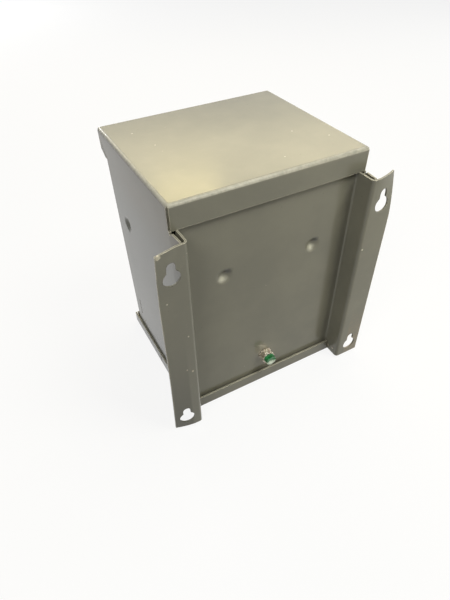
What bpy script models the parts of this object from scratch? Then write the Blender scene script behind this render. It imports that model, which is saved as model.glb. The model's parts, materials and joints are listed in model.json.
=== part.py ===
"""Buck boost transformer in a folded sheet-steel case with rear mounting flanges.

Metres, +Z up. The front of the case faces -Y, the mounting flanges face +Y, and the case
stands on its bottom pan at z = 0. Left and right are as seen from behind, so left is +X.
Every piece is modelled in the case's own frame, whose y = 0 is the middle of the lid, and
hangs from one empty that centres the whole on the origin.
"""
import math

import bmesh
import bpy
from mathutils import Matrix, Vector

# Case of folded sheet
CASE_WIDTH = 0.1700
CASE_DEPTH = 0.1454
CASE_HEIGHT = 0.2272
SHEET = 0.0015
BEND_RADIUS = 0.0015
FIT = 0.0003
EDGE_GAP = 0.0005
WALL_LEAN = 0.0031

# Lid: lips folded down from the top, and the hood over the front
REAR_LIP = 0.0200
FRONT_LIP = 0.0181
CORNER_SLIT = 0.0003
CORNER_OVERLAP = 0.0003
FRONT_SETBACK = 0.0117
HOOD_SLOPE = 0.0055
RETURN_WIDTH = 0.0135
EAR_RELIEF = 0.0026
EAR_END_GAP = 0.0010
EAR_JOGGLE_TOP = 0.0012
EAR_JOGGLE_FOOT = 0.0002
TAB_SLOT_BACK = 0.0156
TAB_SLOT_WIDTH = 0.0013
TAB_SLOT_BOTTOM = 0.0320
TAB_SLOT_TOP = 0.0532

# Rear panel: a hat section whose flanges screw to a wall
PANEL_SET_IN = 0.0014
STAND_OFF = 0.0190
WEB_INSET = 0.0051
FLANGE_WIDTH = 0.0242
FLANGE_FOOT = 0.0034
PANEL_HEAD_GAP = 0.0005

# Keyholes, all four alike
KEY_INSET = 0.0113
KEY_UPPER_DROP = 0.0245
KEY_LOWER_RISE = 0.0134
KEY_CIRCLE = 0.0138
KEY_SLOT = 0.0071
KEY_REACH = 0.0137

# Knocked flange corners: how far the outer corner is bent, and how far along the edge
LEFT_TOP_KNOCK = 0.0050
LEFT_TOP_REACH = 0.0550
LEFT_FOOT_KNOCK = 0.0042
LEFT_FOOT_REACH = 0.0850
RIGHT_TOP_KNOCK = 0.0056
RIGHT_TOP_REACH = 0.0400
FLANGE_STRIPS = 4
KNOCK_STEPS = 6

# Pressed dimples
DIMPLE = 0.0170
DIMPLE_DEPTH = 0.0032
PANEL_DIMPLE_ACROSS = 0.0844
PANEL_DIMPLE_DROP = 0.0780
WALL_DIMPLE_FORWARD = 0.0312
WALL_DIMPLE_DROP = 0.0738

# Bottom pan
PAN_LIP = 0.0134
PAN_FRONT = 0.0691
PAN_BACK_GAP = 0.0018
PAN_SLIT = 0.0008
PAN_WEB_GAP = 0.0009
PAN_NOTCH_BACK = 0.0028
PAN_NOTCH = 0.0015
KNOCKOUT = 0.0222
KNOCKOUT_SLIT = 0.0008
KNOCKOUT_BRIDGE = 0.0030
KNOCKOUT_ACROSS = 0.0700
KNOCKOUT_FORWARD = 0.0240

# Front plates
PLATE_INSET = 0.0020
COVER_OVER = 0.0035
TONGUE_RISE = 0.0075
TONGUE_SIDE_GAP = 0.0035
SCREW_INSET = 0.0100
COVER_SCREW_HEIGHT = 0.0250
PANEL_SCREW_RISE = 0.0165
PANEL_SCREW_DROP = 0.0372

# Slotted hex screws for the plates
SCREW_RADIUS = 0.0019
SCREW_HOLE = 0.0022
SCREW_LENGTH = 0.0062
SCREW_FLATS = 0.0064
SCREW_HEAD = 0.0026
SCREW_COLLAR = 0.0045
SCREW_COLLAR_THICK = 0.0008
SCREW_SLOT = 0.0011
SCREW_SLOT_DEPTH = 0.0012

# Ground screw
GROUND_SIDE = -0.0004
GROUND_HEIGHT = 0.0350
GROUND_RADIUS = 0.0026
GROUND_HOLE = 0.0030
GROUND_INSIDE = 0.0080
GROUND_FLATS = 0.0094
GROUND_HEAD = 0.0042
GROUND_COLLAR = 0.0056
GROUND_COLLAR_THICK = 0.0009
GROUND_DISH = 0.0034
GROUND_SLOT = 0.0018
GROUND_SLOT_DEPTH = 0.0018
GROUND_TURN = 17.0
STAR_RADIUS = 0.0068
STAR_ROOT = 0.0056
STAR_TEETH = 12
STAR_THICK = 0.0010
SPACER_FLATS = 0.0112
SPACER_THICK = 0.0048
INNER_NUT_FLATS = 0.0096
INNER_NUT_THICK = 0.0040

# Laminated core
STACK = 0.0600
TONGUE = 0.0444
WINDOW_WIDTH = 0.0222
YOKE = 0.0222
BOLT_RADIUS = 0.0025
BOLT_HOLE = 0.0029
BOLT_FLATS = 0.0080
BOLT_HEAD = 0.0034
BOLT_TAIL = 0.0060
NUT_THICK = 0.0040
CLAMP_SHEET = 0.0020
CLAMP_HEIGHT = 0.0180
BRACKET_WIDTH = 0.0180
BRACKET_FOOT = 0.0150
CORE_LIFT = 0.0006
CORE_COVER = 0.0136

# Coil
BOBBIN_WALL = 0.0012
BOBBIN_SLIDE = 0.0004
BOBBIN_END_GAP = 0.0006
PRIMARY_BUILD = 0.0080
SECONDARY_BUILD = 0.0070
INSULATION = 0.0007
WRAP = 0.0008
PRIMARY_LAYERS = 12
SECONDARY_LAYERS = 8
WIRE_RELIEF = 0.0005
COIL_CORNER = 0.0040

# Compartment divider, compound and leads
DIVIDER_HEIGHT = 0.0800
DIVIDER_LIP = 0.0080
COMPOUND_TOP_GAP = 0.0202
COMPOUND_FRONT_GAP = 0.0035
COMPOUND_POCKET = 0.0008
LEAD_RADIUS = 0.0016
LEAD_PITCH = 0.0040
LEADS_FORWARD = 0.0420
LEAD_GROUPS_ACROSS = 0.0560
LEAD_END_PITCH = 0.0150
LEAD_END_HEIGHT = 0.0240
LEAD_END_FORWARD = 0.0100
LEAD_STEPS = 9
BUSHING_HOLE = 0.0088
BUSHING_WALL = 0.0015
BUSHING_FLANGE = 0.0022
BUSHING_DEPTH = 0.0060

ROUND = 32
SMALL_ROUND = 16
BEND_STEPS = 4

# Worked out from the sizes above
WALL_OUT = CASE_WIDTH / 2
WALL_IN = WALL_OUT - SHEET
LIP_OUT = CASE_DEPTH / 2
LIP_IN = LIP_OUT - SHEET
SHEET_FOOT = SHEET + EDGE_GAP
WALL_FRONT = -LIP_OUT + FRONT_SETBACK
EAR_TOP = CASE_HEIGHT - REAR_LIP
PANEL_REAR = LIP_IN - PANEL_SET_IN
PANEL_FRONT = PANEL_REAR - SHEET
FLANGE_REAR = PANEL_REAR + STAND_OFF
FLANGE_FRONT = FLANGE_REAR - SHEET
EAR_END = FLANGE_FRONT - EAR_END_GAP
WEB_IN = WALL_OUT - SHEET - WEB_INSET
WEB_OUT = WEB_IN + SHEET
FLANGE_OUT = WEB_OUT + FLANGE_WIDTH
KEY_X = FLANGE_OUT - KEY_INSET
WALL_FOOT_OUT = WALL_OUT - WALL_LEAN
PAN_IN = WALL_FOOT_OUT + FIT * 1.5
PAN_OUT = PAN_IN + SHEET
PAN_REAR_IN = PANEL_REAR + PAN_BACK_GAP
PAN_REAR_OUT = PAN_REAR_IN + SHEET
PLATE_BACK = WALL_FRONT - FIT
PLATE_FRONT = PLATE_BACK - SHEET
PLATE_HALF = WALL_FOOT_OUT - PLATE_INSET
COVER_TOP = DIVIDER_HEIGHT + COVER_OVER
PLATE_SPLIT = COVER_TOP + EDGE_GAP
PANEL_SCREW_HEIGHTS = (COVER_TOP + PANEL_SCREW_RISE, CASE_HEIGHT - PANEL_SCREW_DROP)
RETURN_IN = WALL_OUT - RETURN_WIDTH - SHEET
RETURN_BACK = WALL_FRONT + SHEET
DIVIDER_TOP = DIVIDER_HEIGHT + SHEET
INSIDE_HALF = WALL_IN - WALL_LEAN * 0.68 - FIT
INSIDE_REAR = PANEL_FRONT - FIT
COMPOUND_FRONT = RETURN_BACK + COMPOUND_FRONT_GAP
COMPOUND_TOP = CASE_HEIGHT - COMPOUND_TOP_GAP
CORE_Y = (COMPOUND_FRONT + INSIDE_REAR) / 2
CORE_HALF = TONGUE + WINDOW_WIDTH
CORE_FOOT = DIVIDER_TOP + FIT + CORE_LIFT
CORE_HEAD = COMPOUND_TOP - CORE_COVER
CORE_FACE = STACK / 2
WINDOW_FOOT = CORE_FOOT + YOKE
BOLT_X = CORE_HALF - TONGUE / 4
LEAD_TOP = WINDOW_FOOT + BOBBIN_END_GAP - FIT
REAR_REACH = FLANGE_REAR + LEFT_TOP_KNOCK
CASE_SHIFT = -(REAR_REACH - LIP_OUT) / 2

AXES = {
    "+Z": ((1, 0, 0), (0, 1, 0), (0, 0, 1)),
    "-Z": ((1, 0, 0), (0, -1, 0), (0, 0, -1)),
    "+Y": ((1, 0, 0), (0, 0, -1), (0, 1, 0)),
    "-Y": ((1, 0, 0), (0, 0, 1), (0, -1, 0)),
    "+X": ((0, 1, 0), (0, 0, 1), (1, 0, 0)),
    "-X": ((0, -1, 0), (0, 0, 1), (-1, 0, 0)),
}


def frame(axis, origin=(0, 0, 0)):
    """Matrix that turns local +Z onto the named axis and moves it to the origin given."""
    columns = Matrix(AXES[axis]).transposed()
    return Matrix.Translation(Vector(origin)) @ columns.to_4x4()


def material(name, colour, roughness, metallic):
    """A Principled material, made once for each name."""
    found = bpy.data.materials.get(name)
    if found:
        return found
    made = bpy.data.materials.new(name)
    made.use_nodes = True
    shader = made.node_tree.nodes["Principled BSDF"]
    shader.inputs["Base Color"].default_value = (*colour, 1)
    shader.inputs["Roughness"].default_value = roughness
    shader.inputs["Metallic"].default_value = metallic
    return made


def grey_paint():
    return material("grey_paint", (0.215, 0.215, 0.185), 0.42, 0.0)


def zinc():
    return material("zinc_plate", (0.62, 0.62, 0.60), 0.35, 1.0)


def yellow_zinc():
    return material("yellow_zinc", (0.56, 0.47, 0.30), 0.38, 1.0)


def green_finish():
    return material("ground_green", (0.01, 0.20, 0.045), 0.35, 0.0)


def core_steel():
    return material("core_steel", (0.20, 0.20, 0.21), 0.5, 1.0)


def copper():
    return material("enamelled_copper", (0.45, 0.16, 0.06), 0.35, 1.0)


def insulation_paper():
    return material("insulation_paper", (0.55, 0.45, 0.28), 0.8, 0.0)


def moulded_nylon():
    return material("moulded_nylon", (0.05, 0.05, 0.05), 0.5, 0.0)


def compound():
    return material("potting_compound", (0.06, 0.055, 0.05), 0.7, 0.0)


def lead_sleeve(name, colour):
    return material(name, colour, 0.45, 0.0)


def add_object(name, mesh, finish, smooth=False):
    """Link a mesh or a curve under the case's empty."""
    made = bpy.data.objects.new(name, mesh)
    bpy.context.scene.collection.objects.link(made)
    made.parent = bpy.data.objects["case_frame"]
    mesh.materials.append(finish)
    if smooth:
        mesh.shade_smooth()
        mesh.set_sharp_from_angle(angle=math.radians(32))
    return made


def finish_mesh(shape, name):
    """Turn a bmesh into a mesh with its faces pointing out."""
    bmesh.ops.recalc_face_normals(shape, faces=shape.faces)
    mesh = bpy.data.meshes.new(name)
    shape.to_mesh(mesh)
    shape.free()
    return mesh


def prism_mesh(name, outline, low, high, axis="+Z", origin=(0, 0, 0)):
    """An outline extruded from low to high along an axis."""
    shape = bmesh.new()
    ring = [shape.verts.new((u, v, low)) for u, v in outline]
    base = shape.faces.new(ring)
    grown = bmesh.ops.extrude_face_region(shape, geom=[base])
    moved = [item for item in grown["geom"] if isinstance(item, bmesh.types.BMVert)]
    bmesh.ops.translate(shape, vec=(0, 0, high - low), verts=moved)
    bmesh.ops.transform(shape, matrix=frame(axis, origin), verts=shape.verts)
    return finish_mesh(shape, name)


def box_mesh(name, low, high):
    """An upright box between two corners."""
    outline = [(low[0], low[1]), (high[0], low[1]), (high[0], high[1]), (low[0], high[1])]
    return prism_mesh(name, outline, low[2], high[2])


def side_prism(name, outline, low_x, high_x):
    """An outline of (y, z) points extruded along X."""
    return prism_mesh(name, outline, low_x, high_x, axis="+X")


def turned_mesh(name, profile, axis="+Z", origin=(0, 0, 0), segments=ROUND):
    """A solid turned about an axis; the (r, z) profile runs round from axis to axis or closes."""
    shape = bmesh.new()
    rings = []
    for radius, height in profile:
        if radius == 0:
            rings.append([shape.verts.new((0, 0, height))])
            continue
        turns = [2 * math.pi * k / segments for k in range(segments)]
        around = [(radius * math.cos(a), radius * math.sin(a), height) for a in turns]
        rings.append([shape.verts.new(point) for point in around])
    pairs = list(zip(rings, rings[1:]))
    if profile[0][0] != 0:
        pairs.append((rings[-1], rings[0]))
    for lower, upper in pairs:
        for k in range(segments):
            n = (k + 1) % segments
            corners = []
            corners += [lower[0]] if len(lower) == 1 else [lower[k], lower[n]]
            corners += [upper[0]] if len(upper) == 1 else [upper[n], upper[k]]
            if len(corners) > 2:
                shape.faces.new(corners)
    bmesh.ops.transform(shape, matrix=frame(axis, origin), verts=shape.verts)
    return finish_mesh(shape, name)


def tool(name, mesh):
    """A hidden shape that only cuts or joins."""
    made = add_object(name, mesh, grey_paint())
    made.hide_render = True
    made.display_type = "WIRE"
    return made


def combine(target, mesh, operation):
    """Cut the target with a mesh, or join the mesh to it."""
    helper = tool(f"{target.name}_{operation.lower()}_{len(target.modifiers)}", mesh)
    step = target.modifiers.new(helper.name, "BOOLEAN")
    step.operation = operation
    step.solver = "EXACT"
    step.object = helper
    return target


def cut(target, mesh):
    return combine(target, mesh, "DIFFERENCE")


def join(target, mesh):
    return combine(target, mesh, "UNION")


def circle(radius, segments, centre=(0, 0)):
    """Points of a circle."""
    turns = [2 * math.pi * k / segments for k in range(segments)]
    return [(centre[0] + radius * math.cos(a), centre[1] + radius * math.sin(a)) for a in turns]


def arc(centre, radius, start, end, steps):
    """Points of an arc, both ends included, angles in degrees."""
    angles = [math.radians(start + (end - start) * k / steps) for k in range(steps + 1)]
    return [(centre[0] + radius * math.cos(a), centre[1] + radius * math.sin(a)) for a in angles]


def turned(points, angle):
    """An outline turned about its origin, by an angle in degrees."""
    cos, sin = math.cos(math.radians(angle)), math.sin(math.radians(angle))
    return [(u * cos - v * sin, u * sin + v * cos) for u, v in points]


def hexagon(flats):
    """Points of a hexagon, by the distance across its flats."""
    return circle(flats / math.sqrt(3), 6)


def folded_outline(path, thickness, steps=BEND_STEPS):
    """Outline of a bent sheet whose middle follows the path."""
    bend = BEND_RADIUS + thickness / 2
    points = [Vector(p) for p in path]
    samples = []
    for index, point in enumerate(points):
        before = (point - points[index - 1]).normalized() if index else None
        after = (points[index + 1] - point).normalized() if index + 1 < len(points) else None
        if before is None or after is None or abs(before.cross(after)) < 1e-6:
            heading = after if before is None else before
            samples.append((point, Vector((-heading.y, heading.x))))
            continue
        turn = math.atan2(before.cross(after), before.dot(after))
        side = 1 if turn > 0 else -1
        reach = bend * math.tan(abs(turn) / 2)
        normal = Vector((-before.y, before.x))
        centre = point - before * reach + normal * side * bend
        for k in range(steps + 1):
            swung = normal.copy()
            swung.rotate(Matrix.Rotation(turn * k / steps, 2))
            samples.append((centre - swung * side * bend, swung))
    left = [point + normal * thickness / 2 for point, normal in samples]
    right = [point - normal * thickness / 2 for point, normal in samples]
    return [tuple(p) for p in left + right[::-1]]


def knock(x, height):
    """How far the flange is bent rearward at a point, from the knocked corners."""
    out = (abs(x) - WALL_OUT) / (FLANGE_OUT - WALL_OUT)
    if out <= 0:
        return 0.0
    if x > 0:
        top = max(0.0, 1 - (EAR_TOP - height) / LEFT_TOP_REACH)
        foot = max(0.0, 1 - (height - FLANGE_FOOT) / LEFT_FOOT_REACH)
        return LEFT_TOP_KNOCK * out * top ** 1.5 - LEFT_FOOT_KNOCK * out ** 1.5 * foot ** 1.5
    top = max(0.0, 1 - (EAR_TOP - height) / RIGHT_TOP_REACH)
    return -RIGHT_TOP_KNOCK * out ** 1.4 * top ** 1.5


def hat_section_mesh():
    """Panel, webs and flanges as one folded sheet, with the knocked corners bent."""
    flange_y = FLANGE_REAR - SHEET / 2
    panel_y = PANEL_REAR - SHEET / 2
    web_x = WEB_IN + SHEET / 2
    start = WEB_OUT + BEND_RADIUS
    strips = [FLANGE_OUT + (start - FLANGE_OUT) * k / FLANGE_STRIPS for k in range(FLANGE_STRIPS)]
    path = [(-x, flange_y) for x in strips]
    path += [(-web_x, flange_y), (-web_x, panel_y), (web_x, panel_y), (web_x, flange_y)]
    path += [(x, flange_y) for x in reversed(strips)]
    outline = folded_outline(path, SHEET)
    steps = range(KNOCK_STEPS + 1)
    levels = [FLANGE_FOOT + LEFT_FOOT_REACH * k / KNOCK_STEPS for k in steps]
    levels += [EAR_TOP - LEFT_TOP_REACH * (1 - k / KNOCK_STEPS) for k in steps]
    shape = bmesh.new()
    loops = [[shape.verts.new((x, y + knock(x, z), z)) for x, y in outline] for z in levels]
    for lower, upper in zip(loops, loops[1:]):
        for k in range(len(outline)):
            n = (k + 1) % len(outline)
            shape.faces.new((lower[k], lower[n], upper[n], upper[k]))
    shape.faces.new(loops[0])
    raise_panel_head(shape, loops[-1])
    bmesh.ops.triangulate(shape, faces=shape.faces)
    return finish_mesh(shape, "rear_panel")


def raise_panel_head(shape, top):
    """Cap the webs and flanges, and carry the panel between them up inside the lid."""
    left = len(top) // 4 - 1
    right = left + 1
    front_right = len(top) - 1 - right
    front_left = front_right + 1
    shape.faces.new(top[:left + 1] + top[front_left:])
    shape.faces.new(top[right:front_right + 1])
    strip = [top[left], top[right], top[front_right], top[front_left]]
    head = CASE_HEIGHT - SHEET - PANEL_HEAD_GAP
    raised = [shape.verts.new((vert.co.x, vert.co.y, head)) for vert in strip]
    for k in range(4):
        n = (k + 1) % 4
        shape.faces.new((strip[k], strip[n], raised[n], raised[k]))
    shape.faces.new(raised)


def keyhole_outline():
    """A round hole with a narrower slot above it, about the round hole's centre."""
    half = KEY_SLOT / 2
    neck = math.degrees(math.asin(half / (KEY_CIRCLE / 2)))
    around = arc((0, 0), KEY_CIRCLE / 2, 90 + neck, 450 - neck, 24)
    head = arc((0, KEY_REACH - half), half, 0, 180, 8)
    return around + head


def keyhole_places():
    """Centres of the four round holes as (x, z)."""
    heights = (EAR_TOP - KEY_UPPER_DROP, FLANGE_FOOT + KEY_LOWER_RISE)
    return [(side * KEY_X, z) for side in (1, -1) for z in heights]


def dish_profile(depth_shift):
    """The pressed dimple's curve from its middle to its soft rim."""
    steps = 8
    turns = [math.pi * k / steps for k in range(steps + 1)]
    depths = [depth_shift + DIMPLE_DEPTH * (1 + math.cos(a)) / 2 for a in turns]
    return [(DIMPLE / 2 * a / math.pi, -depth) for a, depth in zip(turns, depths)]


def press_dimple(target, axis, place):
    """Press a dimple into a sheet: the axis points out of the sheet's outer face."""
    backing = dish_profile(SHEET) + [(DIMPLE / 2, -SHEET / 2), (0, -SHEET / 2)]
    join(target, turned_mesh("dimple_back", backing, axis, place, SMALL_ROUND))
    hollow = dish_profile(0) + [(DIMPLE / 2, SHEET), (0, SHEET)]
    cut(target, turned_mesh("dimple_hollow", hollow, axis, place, SMALL_ROUND))


def rounded_top_box(name, half_x, half_y, foot, head, radius):
    """A box whose four top edges are rounded."""
    shape = bmesh.new()
    bmesh.ops.create_cube(shape, size=1)
    for vert in shape.verts:
        vert.co.x *= 2 * half_x
        vert.co.y *= 2 * half_y
        vert.co.z = head if vert.co.z > 0 else foot
    top = [edge for edge in shape.edges if all(v.co.z > (foot + head) / 2 for v in edge.verts)]
    bmesh.ops.bevel(shape, geom=top, offset=radius, segments=BEND_STEPS, profile=0.5, affect="EDGES")
    return finish_mesh(shape, name)


def front_return(side):
    """The wall's front edge folded inward, to carry the front plates."""
    top = CASE_HEIGHT - FRONT_LIP - HOOD_SLOPE
    wall_x = side * (WALL_OUT - SHEET / 2)
    fold_y = WALL_FRONT + SHEET / 2
    path = [(wall_x, WALL_FRONT + RETURN_WIDTH), (wall_x, fold_y), (side * RETURN_IN, fold_y)]
    return prism_mesh("front_return", folded_outline(path, SHEET), SHEET_FOOT, top)


def ear_mesh(low_x, high_x):
    """The wall's strip behind the lid, in columns so that it can be joggled inward."""
    columns = [(LIP_OUT - 2 * EAR_RELIEF, EAR_TOP - EAR_RELIEF), (LIP_OUT, EAR_TOP - EAR_RELIEF),
               (LIP_OUT + EAR_RELIEF, EAR_TOP), (EAR_END, EAR_TOP)]
    shape = bmesh.new()
    rings = []
    for y, top in columns:
        corners = ((low_x, SHEET_FOOT), (high_x, SHEET_FOOT), (high_x, top), (low_x, top))
        rings.append([shape.verts.new((x, y, z)) for x, z in corners])
    for near, far in zip(rings, rings[1:]):
        for k in range(4):
            n = (k + 1) % 4
            shape.faces.new((near[k], near[n], far[n], far[k]))
    shape.faces.new(rings[0])
    shape.faces.new(rings[-1])
    return finish_mesh(shape, "ear")


def open_corners(cover, side):
    """Open the lid's corners on one side, where its lips meet the wall."""
    over = SHEET * 4
    lip_end, outside = sorted((side * (WALL_IN + CORNER_OVERLAP), side * (WALL_OUT + over)))
    wall_low, wall_high = sorted((side * (WALL_IN - CORNER_SLIT), side * (WALL_OUT + over)))
    for face in (1, -1):
        near, far = sorted((face * (LIP_IN - CORNER_SLIT), face * (LIP_OUT + over)))
        cut(cover, box_mesh("corner", (lip_end, near, EAR_TOP), (outside, far, CASE_HEIGHT + over)))
        near, far = sorted((face * (LIP_IN - CORNER_SLIT), face * LIP_IN))
        head = CASE_HEIGHT - SHEET - BEND_RADIUS
        cut(cover, box_mesh("corner_slit", (wall_low, near, EAR_TOP), (wall_high, far, head)))


def leaned(point):
    """Where a point of the upright case lies once its walls lean in and its ears are joggled."""
    drop = (CASE_HEIGHT - point.z) / CASE_HEIGHT
    back = max((point.y - LIP_OUT) / (EAR_END - LIP_OUT), 0)
    joggle = back * (EAR_JOGGLE_TOP + (EAR_JOGGLE_FOOT - EAR_JOGGLE_TOP) * drop)
    x = point.x * (1 - WALL_LEAN * drop / WALL_OUT) - math.copysign(joggle, point.x)
    return (x, point.y, point.z)


def settle(target, moved):
    """Fix the target's cuts and joins in its mesh, then move every vertex."""
    graph = bpy.context.evaluated_depsgraph_get()
    mesh = bpy.data.meshes.new_from_object(target.evaluated_get(graph))
    helpers = [step.object for step in target.modifiers]
    target.modifiers.clear()
    for helper in helpers:
        bpy.data.objects.remove(helper, do_unlink=True)
    for vert in mesh.vertices:
        vert.co = moved(vert.co)
    target.data = mesh


def build_top_cover():
    """Top, side walls and lips folded from one sheet."""
    outer = rounded_top_box("top_cover", WALL_OUT, LIP_OUT, SHEET_FOOT, CASE_HEIGHT, BEND_RADIUS + SHEET)
    cover = add_object("top_cover", outer, grey_paint())
    cut(cover, rounded_top_box("inside", WALL_IN, LIP_IN, -SHEET, CASE_HEIGHT - SHEET, BEND_RADIUS))
    lip_foot = CASE_HEIGHT - FRONT_LIP
    over = SHEET * 4
    behind_return = WALL_FRONT + RETURN_WIDTH / 2
    hood = [(-LIP_OUT - over, -over), (behind_return, -over), (behind_return, lip_foot - HOOD_SLOPE),
            (WALL_FRONT, lip_foot - HOOD_SLOPE), (-LIP_IN, lip_foot), (-LIP_OUT - over, lip_foot)]
    cut(cover, side_prism("hood_cut", hood, -WALL_OUT - over, WALL_OUT + over))
    cut(cover, box_mesh("rear_cut", (-WALL_IN, LIP_IN - over, -over), (WALL_IN, LIP_OUT + over, EAR_TOP)))
    for side in (1, -1):
        join(cover, front_return(side))
        low, high = sorted((side * WALL_IN, side * WALL_OUT))
        join(cover, ear_mesh(low, high))
        open_corners(cover, side)
        slot_y = WALL_FRONT + TAB_SLOT_BACK
        cut(cover, box_mesh("tab_slot", (low - over, slot_y, TAB_SLOT_BOTTOM),
                            (high + over, slot_y + TAB_SLOT_WIDTH, TAB_SLOT_TOP)))
        axis = "+X" if side > 0 else "-X"
        press_dimple(cover, axis, (side * WALL_OUT, -WALL_DIMPLE_FORWARD, CASE_HEIGHT - WALL_DIMPLE_DROP))
    settle(cover, leaned)
    for side in (1, -1):
        for height in (COVER_SCREW_HEIGHT, *PANEL_SCREW_HEIGHTS):
            cut(cover, screw_hole(side, height))
    return cover


def screw_hole(side, height):
    """A clearance hole through the front plates and the returns."""
    place = (side * (WALL_OUT - SCREW_INSET), WALL_FRONT, height)
    return prism_mesh("screw_hole", circle(SCREW_HOLE, SMALL_ROUND), -SHEET * 3, SHEET * 3, "-Y", place)


def build_rear_panel():
    """The hat section with its keyholes, dimples and ground hole."""
    panel = add_object("rear_panel", hat_section_mesh(), grey_paint())
    for x, z in keyhole_places():
        depth = LEFT_TOP_KNOCK + RIGHT_TOP_KNOCK + 2 * SHEET
        outline = [(u, -v) for u, v in keyhole_outline()]
        cut(panel, prism_mesh("keyhole", outline, -depth, depth, "+Y", (x, FLANGE_REAR, z)))
    hole = circle(GROUND_HOLE, SMALL_ROUND)
    place = (GROUND_SIDE, PANEL_REAR, GROUND_HEIGHT)
    cut(panel, prism_mesh("ground_hole", hole, -3 * SHEET, 2 * SHEET, "+Y", place))
    for side in (1, -1):
        place = (side * PANEL_DIMPLE_ACROSS / 2, PANEL_REAR, CASE_HEIGHT - PANEL_DIMPLE_DROP)
        press_dimple(panel, "+Y", place)
    return panel


def knockout_cut(x, start):
    """Half of the slit round a knockout disc, between its two bridges."""
    outer = KNOCKOUT / 2 + KNOCKOUT_SLIT
    skip = math.degrees(KNOCKOUT_BRIDGE / 2 / outer)
    centre = (x, -KNOCKOUT_FORWARD)
    ring = arc(centre, outer, start + skip, start + 180 - skip, 14)
    ring += arc(centre, KNOCKOUT / 2, start + 180 - skip, start + skip, 14)
    return prism_mesh("knockout", ring, -SHEET, 2 * SHEET)


def build_bottom_pan():
    """Floor with four upturned lips, open at the corners, and two knockouts."""
    middle = (PAN_REAR_OUT - PAN_FRONT) / 2
    half_y = (PAN_REAR_OUT + PAN_FRONT) / 2
    shape = bmesh.new()
    bmesh.ops.create_cube(shape, size=1)
    for vert in shape.verts:
        vert.co.x *= 2 * PAN_OUT
        vert.co.y = middle + 2 * half_y * vert.co.y
        vert.co.z = 0 if vert.co.z < 0 else PAN_LIP
    base = [edge for edge in shape.edges if all(v.co.z == 0 for v in edge.verts)]
    radius = BEND_RADIUS + EDGE_GAP
    bmesh.ops.bevel(shape, geom=base, offset=radius, segments=3, profile=0.5, affect="EDGES")
    pan = add_object("bottom_pan", finish_mesh(shape, "bottom_pan"), grey_paint())
    top = PAN_LIP + SHEET
    front_in = -PAN_FRONT + SHEET
    cut(pan, box_mesh("pan_inside", (-PAN_IN, front_in, SHEET), (PAN_IN, PAN_REAR_IN, top)))
    rear_half = WEB_IN - PAN_WEB_GAP
    for side in (1, -1):
        low, high = sorted((side * rear_half, side * PAN_IN))
        cut(pan, box_mesh("ear_room", (low, PAN_REAR_IN - SHEET, SHEET), (high, PAN_REAR_OUT + SHEET, top)))
        low, high = sorted((side * (PAN_IN - PAN_SLIT), side * PAN_IN))
        cut(pan, box_mesh("pan_slit", (low, -PAN_FRONT - SHEET, SHEET), (high, front_in + SHEET, top)))
        low, high = sorted((side * (PAN_IN - SHEET), side * (PAN_OUT + SHEET)))
        notch = PAN_NOTCH_BACK + PAN_NOTCH
        cut(pan, box_mesh("pan_notch", (low, PAN_NOTCH_BACK, SHEET * 2), (high, notch, top)))
        for start in (0, 180):
            cut(pan, knockout_cut(side * KNOCKOUT_ACROSS / 2, start))
    return pan


def build_front_panel():
    """Upper front plate, screwed to the wall returns under the hood."""
    head = CASE_HEIGHT - SHEET - EDGE_GAP
    mesh = box_mesh("front_panel", (-PLATE_HALF, PLATE_FRONT, PLATE_SPLIT), (PLATE_HALF, PLATE_BACK, head))
    panel = add_object("front_panel", mesh, grey_paint())
    for side in (1, -1):
        for height in PANEL_SCREW_HEIGHTS:
            cut(panel, screw_hole(side, height))
    return panel


def build_wiring_cover():
    """Lower front plate, with a tongue that hooks behind the upper one."""
    low = (-PLATE_HALF, PLATE_FRONT, SHEET_FOOT)
    mesh = box_mesh("wiring_cover", low, (PLATE_HALF, PLATE_BACK, COVER_TOP))
    cover = add_object("wiring_cover", mesh, grey_paint())
    outer_y = (PLATE_FRONT + PLATE_BACK) / 2
    inner_y = PLATE_BACK + FIT + SHEET / 2
    step = SHEET + FIT
    path = [(outer_y, COVER_TOP - 6 * step), (outer_y, COVER_TOP - 2 * step), (inner_y, COVER_TOP),
            (inner_y, COVER_TOP + TONGUE_RISE)]
    half = RETURN_IN - TONGUE_SIDE_GAP
    cut(cover, box_mesh("tongue_room", (-half, PLATE_FRONT - SHEET, COVER_TOP - 2 * step - SHEET),
                        (half, PLATE_BACK + SHEET, COVER_TOP + SHEET)))
    join(cover, side_prism("tongue", folded_outline(path, SHEET), -half, half))
    for side in (1, -1):
        cut(cover, screw_hole(side, COVER_SCREW_HEIGHT))
    return cover


def hex_screw(name, axis, place, finish, sizes, turn=0.0, dish=0.0):
    """A slotted hex screw: the axis points out of its head, the place is under the head."""
    radius, length, collar, collar_thick, flats, head, slot, slot_depth = sizes
    profile = [(0, -length), (radius * 0.7, -length), (radius, -length + radius * 0.6), (radius, 0),
               (collar, 0), (collar, collar_thick), (0, collar_thick)]
    screw = add_object(name, turned_mesh(name, profile, axis, place, SMALL_ROUND), finish, smooth=True)
    join(screw, prism_mesh("hex_head", turned(hexagon(flats), turn), collar_thick / 2, head, axis, place))
    groove = turned([(-flats, -slot / 2), (flats, -slot / 2), (flats, slot / 2), (-flats, slot / 2)], turn)
    if dish:
        floor = head - slot_depth / 2
        hollow = [(0, floor), (dish * 0.7, floor), (dish, head + FIT), (0, head + FIT)]
        cut(screw, turned_mesh("head_dish", hollow, axis, place, SMALL_ROUND))
    cut(screw, prism_mesh("screw_slot", groove, head - slot_depth, head + slot_depth, axis, place))
    return screw


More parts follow.
